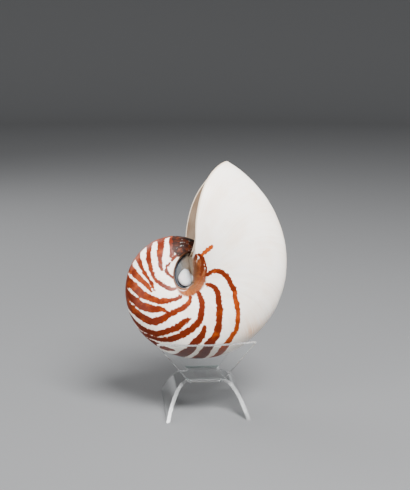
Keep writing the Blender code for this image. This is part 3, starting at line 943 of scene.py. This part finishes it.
class Effect:
    """A shader node group that several finishes share, built once."""

    NAME = "effect"
    INPUTS: tuple[tuple[str, str], ...] = ()
    OUTPUTS: tuple[tuple[str, str], ...] = ()

    def __init__(self) -> None:
        """Find the group, or make it with its sockets and its nodes."""
        found = bpy.data.node_groups.get(self.NAME)
        self.made = found or self.create()

    def create(self) -> bpy.types.NodeTree:
        """Make the group's sockets, then fill it."""
        made = bpy.data.node_groups.new(self.NAME, "ShaderNodeTree")
        for sockets, direction in ((self.INPUTS, "INPUT"), (self.OUTPUTS, "OUTPUT")):
            for name, kind in sockets:
                made.interface.new_socket(name, in_out=direction, socket_type="NodeSocket" + kind)
        tree = Tree(made)
        given = made.nodes.new("NodeGroupInput")
        results = self.fill(tree, {name: given.outputs[name] for name, _ in self.INPUTS})
        end = made.nodes.new("NodeGroupOutput")
        for name, result in results.items():
            made.links.new(result, end.inputs[name])
        return made

    def fill(self, tree: Tree, given: Sockets) -> Sockets:
        """Write the nodes. Returns the result for each output."""
        raise NotImplementedError


class GrowthLines(Effect):
    """Fine lines along each former lip: noise of the growth angle, drawn out along the lip."""

    NAME = "growth lines"
    INPUTS = (("Growth", "Float"), ("Around", "Float"), ("Fineness", "Float"))
    OUTPUTS = (("Height", "Float"), ("Tone", "Float"))

    def fill(self, tree: Tree, given: Sockets) -> Sockets:
        """Three layers: broad clouds, lines and hair lines."""
        along = tree.times(given["Growth"], given["Fineness"])
        across = tree.times(given["Around"], 0.012)
        drawn = tree.node("CombineXYZ", {"X": along, "Y": across}).outputs[0]
        lines = tree.noise(drawn, 0.9, 3.0, 0.6)
        hair = tree.noise(drawn, 3.4, 2.0, 0.6)
        wide = {"X": tree.times(given["Growth"], 0.05), "Y": tree.times(given["Around"], 0.03)}
        clouds = tree.noise(tree.node("CombineXYZ", wide).outputs[0], 1.0, 2.0, 0.5)
        height = tree.plus(tree.times(lines, 0.6), tree.times(hair, 0.4))
        tone = tree.plus(tree.times(clouds, 0.6), tree.times(height, 0.4))
        return {"Height": height, "Tone": tone}


class WornFilm(Effect):
    """The dark film by the opening, rubbed through in specks."""

    NAME = "worn film"
    INPUTS = (("Place", "Vector"), ("Amount", "Float"))
    OUTPUTS = (("Mask", "Float"), ("Color", "Color"), ("Height", "Float"))
    BLACK: Colour = (0.004, 0.002, 0.001, 1.0)
    BROWN: Colour = (0.035, 0.006, 0.001, 1.0)
    RUST: Colour = (0.15, 0.027, 0.003, 1.0)
    SPECK: Colour = (0.34, 0.31, 0.28, 1.0)

    def fill(self, tree: Tree, given: Sockets) -> Sockets:
        """Brown to black clouds, pale specks over them, and a broken edge."""
        clouds = tree.noise(given["Place"], 170.0, 3.0, 0.6)
        specks = tree.noise(given["Place"], 430.0, 3.0, 0.6)
        dark = tree.mix(tree.ease(clouds, 0.40, 0.56), self.BLACK, self.BROWN)
        rusty = tree.mix(tree.ease(clouds, 0.58, 0.72), dark, self.RUST)
        colour = tree.mix(tree.ease(specks, 0.61, 0.70), rusty, self.SPECK)
        ragged = tree.plus(given["Amount"], tree.times(tree.math("SUBTRACT", clouds, 0.5), 2.4))
        edge = tree.times(tree.ease(ragged, 0.30, 0.46), tree.ease(given["Amount"], 0.02, 0.15))
        return {"Mask": edge, "Color": colour, "Height": specks}


class Pearl(Effect):
    """Mother of pearl: pale pink, green and blue clouds over one colour."""

    NAME = "mother of pearl"
    INPUTS = (("Place", "Vector"), ("Ground", "Color"), ("Strength", "Float"))
    OUTPUTS = (("Color", "Color"),)
    PINK: Colour = (1.0, 0.86, 0.84, 1.0)
    YELLOW: Colour = (1.0, 0.97, 0.86, 1.0)
    GREEN: Colour = (0.84, 0.96, 0.90, 1.0)
    BLUE: Colour = (0.84, 0.90, 1.0, 1.0)

    def fill(self, tree: Tree, given: Sockets) -> Sockets:
        """Two noises choose between the pastel colours."""
        first = tree.ease(tree.noise(given["Place"], 95.0, 2.0, 0.5), 0.38, 0.62)
        second = tree.ease(tree.noise(given["Place"], 160.0, 1.0, 0.5), 0.40, 0.60)
        warm = tree.mix(second, self.PINK, self.YELLOW)
        cool = tree.mix(second, self.GREEN, self.BLUE)
        tint = tree.mix(first, warm, cool)
        tinted = tree.node("Mix", {0: given["Strength"], 6: given["Ground"], 7: tint},
                           data_type="RGBA", blend_type="MULTIPLY").outputs[2]
        return {"Color": tinted}


def new_material(name: str, **settings: Value) -> tuple[bpy.types.Material, Tree, bpy.types.Node]:
    """A material with its Principled shader.

    Args:
        name: the material's name.
        settings: the shader's constants by name, spaces written as underscores.

    Returns:
        The material, its tree and the shader.
    """
    material = bpy.data.materials.new(name)
    material.use_nodes = True
    shader = material.node_tree.nodes["Principled BSDF"]
    for socket, value in settings.items():
        shader.inputs[socket.replace("_", " ")].default_value = value
    return material, Tree(material.node_tree), shader


def growth_lines(tree: Tree, fineness: float) -> bpy.types.Node:
    """The growth lines' group, fed with the values on the points."""
    growth, around = tree.attribute("growth"), tree.attribute("around")
    return tree.group(GrowthLines().made, Growth=growth, Around=around, Fineness=fineness)


def worn_film(tree: Tree, place: Socket, colour: Value) -> tuple[Socket, Socket, Socket]:
    """Lay the dark film over a colour.

    Args:
        tree: the material's tree.
        place: the point's place.
        colour: what lies under the film.

    Returns:
        The new colour, the film's share and its height.
    """
    film = tree.group(WornFilm().made, Place=place, Amount=tree.attribute("film"))
    share = film.outputs["Mask"]
    return tree.mix(share, colour, film.outputs["Color"]), share, film.outputs["Height"]


@dataclass(frozen=True)
class ShellSkin:
    """Outer wall: satin white, painted bands, film, callus and pearly hubs with painted shade."""

    white: Colour = (0.95, 0.885, 0.810, 1.0)
    shade: Colour = (0.88, 0.755, 0.640, 1.0)
    blush: Colour = (0.80, 0.47, 0.27, 1.0)
    orange: Colour = (0.32, 0.048, 0.001, 1.0)
    red_brown: Colour = (0.105, 0.0100, 0.0006, 1.0)
    deep_brown: Colour = (0.050, 0.0060, 0.0010, 1.0)
    callus: Colour = (0.30, 0.092, 0.022, 1.0)
    callus_dark: Colour = (0.17, 0.040, 0.010, 1.0)
    hub_grey: Colour = (0.105, 0.118, 0.130, 1.0)
    hub_tan: Colour = (0.40, 0.300, 0.215, 1.0)
    # Painted shade in the pocket: its bottom, the foot of its left wall and the knob's underside.
    hub_shade_blue: Colour = (0.010, 0.016, 0.026, 1.0)
    knob_white: Colour = (0.86, 0.87, 0.90, 1.0)
    lip_cream: Colour = (0.66, 0.55, 0.43, 1.0)
    rim_brown: Colour = (0.12, 0.045, 0.020, 1.0)
    lip_tan: Colour = (0.17, 0.060, 0.020, 1.0)
    roughness: float = 0.36
    paint_roughness: float = 0.42
    film_roughness: float = 0.58
    hub_roughness: float = 0.22

    def bands(self, tree: Tree, place: Socket, ground: Value) -> tuple[Value, Value]:
        """Paint the bands.

        The stored depth is moved in and out by a coarse and a fine noise, and
        the paint is lighter near its edge.

        Args:
            tree: the material's tree.
            place: the point's place.
            ground: the colour under the paint.

        Returns:
            The painted colour and the paint's share.
        """
        coarse = tree.scatter(place, 230.0, 1.8, 1.0)
        fine = tree.scatter(place, 640.0, 2.6, 1.0)
        depth = tree.plus(tree.attribute("band_depth"), tree.plus(coarse, fine))
        share = tree.ease(depth, -0.44, -0.10)
        tone = tree.plus(tree.attribute("band_tone"), tree.scatter(place, 150.0, 1.6, 3.0, 0.6))
        paint = tree.mix(tree.ease(tone, 0.0, 0.75), self.orange, self.red_brown)
        paint = tree.mix(tree.ease(tone, 0.85, 1.35), paint, self.deep_brown)
        paint = tree.mix(tree.times(tree.fall(depth, -0.2, 0.7), 0.4), paint, self.orange)
        return tree.mix(share, ground, paint), share

    def hub(self, tree: Tree, place: Socket, ground: Value) -> tuple[Value, Value]:
        """Paint the sunk hub: a grey to tan floor of painted shade and reflection, painted shade at its
        foot, a brown rim and a pale knob shaded below.

        Args:
            tree: the material's tree.
            place: the point's place.
            ground: the colour around the hub.

        Returns:
            The painted colour and the hub's share.
        """
        reach = tree.attribute("hub_reach")
        side = tree.attribute("hub_side")
        rise = tree.attribute("hub_rise")
        knob = tree.attribute("knob")
        # Painted shade and reflection: grey on the left, where the pocket lies in shade, lighter tan towards
        # the lip.
        floor = tree.mix(tree.ease(side, -0.6, 0.5), self.hub_grey, self.hub_tan)
        # Painted shade: the floor darkens towards its bottom.
        floor = tree.mix(tree.fall(rise, -0.9, -0.1), floor, self.hub_shade_blue)
        # Painted shadow along the foot of the pocket's rim on its left.
        foot = tree.times(tree.ease(reach, 0.72, 0.96), tree.fall(side, 0.0, 0.35))
        floor = tree.mix(foot, floor, self.hub_shade_blue)
        # Painted shade: the knob's pale darkens towards its bottom.
        pale = tree.mix(tree.fall(rise, -1.05, -0.70), self.knob_white, self.hub_shade_blue)
        floor = tree.mix(tree.ease(knob, 0.04, 0.14), floor, pale)
        pearl = tree.group(Pearl().made, Place=place, Ground=floor, Strength=0.5).outputs["Color"]
        wavy = tree.plus(reach, tree.times(tree.noise(place, 420.0), 0.05))
        share = tree.fall(wavy, 1.00, 1.06)
        rim = tree.times(tree.ease(wavy, 1.0, 1.06), tree.fall(wavy, 1.13, 1.20))
        rim = tree.times(rim, tree.fall(side, -0.1, 0.4))
        lip = tree.times(tree.ease(side, 0.15, 0.35), tree.fall(wavy, 1.20, 1.60))
        lip = tree.times(lip, tree.fall(rise, 1.2, 1.7))
        around = tree.mix(rim, tree.mix(lip, ground, self.lip_tan), self.rim_brown)
        return tree.mix(share, around, pearl), share

    def material(self) -> bpy.types.Material:
        """Build the finish from the ground up."""
        material, tree, shader = new_material(
            "shell_skin", Subsurface_Weight=0.08, Subsurface_Radius=(1.0, 0.6, 0.4),
            Subsurface_Scale=0.002, Specular_IOR_Level=0.16, Coat_Weight=0.02, Coat_Roughness=0.22)
        place = tree.place()
        lines = growth_lines(tree, 1.0).outputs
        colour = tree.mix(tree.ease(lines["Tone"], 0.42, 0.66), self.white, self.shade)
        colour = tree.mix(tree.ease(tree.attribute("growth"), 359.0, 360.0), colour, self.lip_cream)
        flush = tree.times(tree.attribute("flush"), tree.ease(lines["Height"], 0.30, 0.55))
        colour = tree.mix(tree.times(flush, 0.8), colour, self.blush)
        colour, paint = self.bands(tree, place, colour)
        streaks = growth_lines(tree, 0.16).outputs["Height"]
        patchy = tree.mix(tree.ease(streaks, 0.42, 0.68), self.callus_dark, self.callus)
        callus = tree.ease(tree.plus(tree.attribute("callus"), tree.scatter(place, 330.0, 3.0)), -0.8, 1.4)
        colour = tree.mix(tree.times(callus, tree.fall(paint, 0.3, 1.3)), colour, patchy)
        colour, film, worn = worn_film(tree, place, colour)
        colour, hub = self.hub(tree, place, colour)
        rough = tree.blend(paint, self.roughness, self.paint_roughness)
        rough = tree.blend(film, rough, self.film_roughness)
        rough = tree.blend(hub, rough, self.hub_roughness)
        relief = tree.blend(hub, tree.plus(lines["Height"], tree.times(film, worn)), 0.5)
        tree.finish(shader, colour, rough, tree.bump(relief, 0.25, 0.25 * MM))
        return material


@dataclass(frozen=True)
class PearlLining:
    """Inside of the living chamber: dark tan by the lip, partly painted shade, pearly further in."""

    tan: Colour = (0.155, 0.098, 0.060, 1.0)
    pale: Colour = (0.25, 0.180, 0.125, 1.0)
    inner: Colour = (0.62, 0.55, 0.48, 1.0)
    roughness: float = 0.26
    film_roughness: float = 0.55

    def material(self) -> bpy.types.Material:
        """Build the finish."""
        material, tree, shader = new_material("pearl_lining")
        place = tree.place()
        lines = growth_lines(tree, 0.7).outputs
        inner = tree.group(Pearl().made, Place=place, Ground=self.inner, Strength=0.7).outputs["Color"]
        # Partly painted shade: the dark tan by the lip is the lining's colour darkened for the shade inside
        # the lip.
        by_lip = tree.mix(tree.ease(lines["Tone"], 0.40, 0.65), self.tan, self.pale)
        near_lip = tree.ease(tree.attribute("growth"), 318.0, 350.0)
        colour, film, _ = worn_film(tree, place, tree.mix(near_lip, inner, by_lip))
        rough = tree.blend(film, self.roughness, self.film_roughness)
        tree.finish(shader, colour, rough, tree.bump(lines["Height"], 0.2, 0.2 * MM))
        return material


@dataclass(frozen=True)
class ClearAcrylic:
    """The sheet's polished faces."""

    tint: Colour = (0.985, 0.992, 0.990, 1.0)
    ior: float = 1.49
    depth_tint: Colour = (0.86, 0.93, 0.92, 1.0)
    density: float = 6.0
    smear: float = 0.02

    def material(self) -> bpy.types.Material:
        """Plain clear plastic with a light absorption."""
        material, tree, shader = new_material(
            "clear_acrylic", Base_Color=self.tint, Transmission_Weight=1.0, IOR=self.ior)
        smear = tree.ease(tree.noise(tree.place(), 60.0, 3.0), 0.3, 0.8)
        tree.put(shader.inputs["Roughness"], tree.times(smear, self.smear))
        volume = tree.node("VolumeAbsorption", {"Color": self.depth_tint, "Density": self.density})
        tree.put(material.node_tree.nodes["Material Output"].inputs["Volume"], volume.outputs[0])
        return material


@dataclass(frozen=True)
class EdgeAndHighlight:
    """The sheet's cut edges, which gather light, whose bit of white is partly painted highlight, and the
    painted highlight along each flap's fold.
    """

    tint: Colour = (0.96, 0.97, 0.97, 1.0)
    ior: float = 1.49
    roughness: float = 0.22
    grain: float = 0.12
    clear: float = 0.84

    def material(self) -> bpy.types.Material:
        """A frosted finish: mostly clear, a little white, which stands partly for painted highlight."""
        material, tree, shader = new_material(
            "edge_and_highlight", Base_Color=self.tint, Transmission_Weight=self.clear, IOR=self.ior)
        grain = tree.times(tree.noise(tree.place(), 900.0, 2.0), self.grain)
        tree.put(shader.inputs["Roughness"], tree.plus(grain, self.roughness - self.grain / 2.0))
        return material


@dataclass
class Studio:
    """Floor, soft lights and the camera."""

    azimuth: float = -5.512
    elevation: float = 12.065
    target: tuple[float, float, float] = (1.003 * MM, 0.0, 141.09 * MM)
    distance: float = 931.6 * MM
    lens: float = 81.61
    sensor: float = 36.0
    floor_start: float = 0.6
    floor_radius: float = 2.4
    floor_bend: float = 0.6
    wall_height: float = 1.2
    floor_grey: Colour = (0.12, 0.122, 0.125, 1.0)
    air: Colour = (0.80, 0.81, 0.82, 1.0)
    air_strength: float = 0.6
    aim_height: float = 0.11
    lights: tuple[tuple[str, tuple[float, float, float], float, float], ...] = (
        ("key", (0.35, -0.60, 1.15), 0.6, 66.0),
        ("fill", (-1.00, -0.60, 0.35), 0.8, 12.0),
        ("back", (-0.60, 0.80, 0.80), 0.8, 12.0),
    )

    def floor(self) -> bpy.types.Object:
        """A round pale floor whose rim curves up into a low wall.

        Its profile is flat, then a quarter circle, then upright, and it is
        turned round the middle.
        """
        turn = np.radians(np.linspace(0.0, 90.0, 13))
        out = np.concatenate([[0.0, self.floor_start], self.floor_radius + self.floor_bend * np.sin(turn)])
        rise = np.concatenate([[0.0, 0.0], self.floor_bend * (1.0 - np.cos(turn))])
        out = np.append(out, out[-1])
        rise = np.append(rise, self.wall_height)
        around = np.radians(np.linspace(0.0, TURN, 97))[:, None]
        points = np.stack(np.broadcast_arrays(out * np.cos(around), out * np.sin(around), rise), axis=-1)
        builder = MeshBuilder()
        builder.grid(builder.add(points), Surface.SKIN, flip=True)
        mesh = builder.mesh("floor", builder.all_points())
        mesh.shade_smooth()
        floor = show("floor", mesh)
        mesh.materials.append(new_material("studio_floor", Base_Color=self.floor_grey, Roughness=0.9)[0])
        return floor

    def light(
        self, name: str, place: tuple[float, float, float], size: float, power: float,
    ) -> bpy.types.Object:
        """A square soft light that faces the object.

        Args:
            name: the light's name.
            place: where it stands, from the stand's middle.
            size: its side.
            power: its power in watts.

        Returns:
            The light.
        """
        data = bpy.data.lights.new(name, "AREA")
        data.shape = "SQUARE"
        data.size = size
        data.energy = power
        light = show(name, data)
        middle = Vector(stand_middle())
        light.location = Vector(place) + middle
        aim = middle + Vector((0.0, 0.0, self.aim_height)) - light.location
        light.rotation_euler = aim.to_track_quat("-Z", "Y").to_euler()
        return light

    def camera(self) -> bpy.types.Object:
        """The camera, at the photograph's angle and distance."""
        data = bpy.data.cameras.new("camera")
        data.lens = self.lens
        data.sensor_width = self.sensor
        data.clip_start = 0.01
        camera = show("camera", data)
        turn, rise = math.radians(self.azimuth), math.radians(self.elevation)
        back = Vector((math.sin(turn) * math.cos(rise), -math.cos(turn) * math.cos(rise), math.sin(rise)))
        target = Vector(stand_middle()) + Vector(self.target)
        camera.location = target + back * self.distance
        camera.rotation_euler = (-back).to_track_quat("-Z", "Y").to_euler()
        bpy.context.scene.camera = camera
        return camera

    def build(self) -> None:
        """Set up the whole studio."""
        self.floor()
        for name, place, size, power in self.lights:
            self.light(name, place, size, power)
        world = bpy.data.worlds.new("studio_air")
        world.use_nodes = True
        background = world.node_tree.nodes["Background"]
        background.inputs["Color"].default_value = self.air
        background.inputs["Strength"].default_value = self.air_strength
        bpy.context.scene.world = world
        self.camera()


def main() -> None:
    """Build the shell and its stand, dress them and set up the studio."""
    logging.basicConfig(level=logging.INFO, format="%(name)s: %(message)s")
    pieces = (
        (Shell(), (ShellSkin(), PearlLining()), "nautilus_shell", "shell"),
        (Sheet(), (ClearAcrylic(), EdgeAndHighlight()), "acrylic_stand", "acrylic"),
    )
    for maker, finishes, node, slot in pieces:
        piece = maker.build()
        for finish in finishes:
            piece.data.materials.append(finish.material())
        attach(piece, "root")
        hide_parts(node)
        LOG.info("%s: %d points, %d faces", piece.name, len(piece.data.vertices), len(piece.data.polygons))
    Studio().build()


if __name__ == "__main__":
    main()
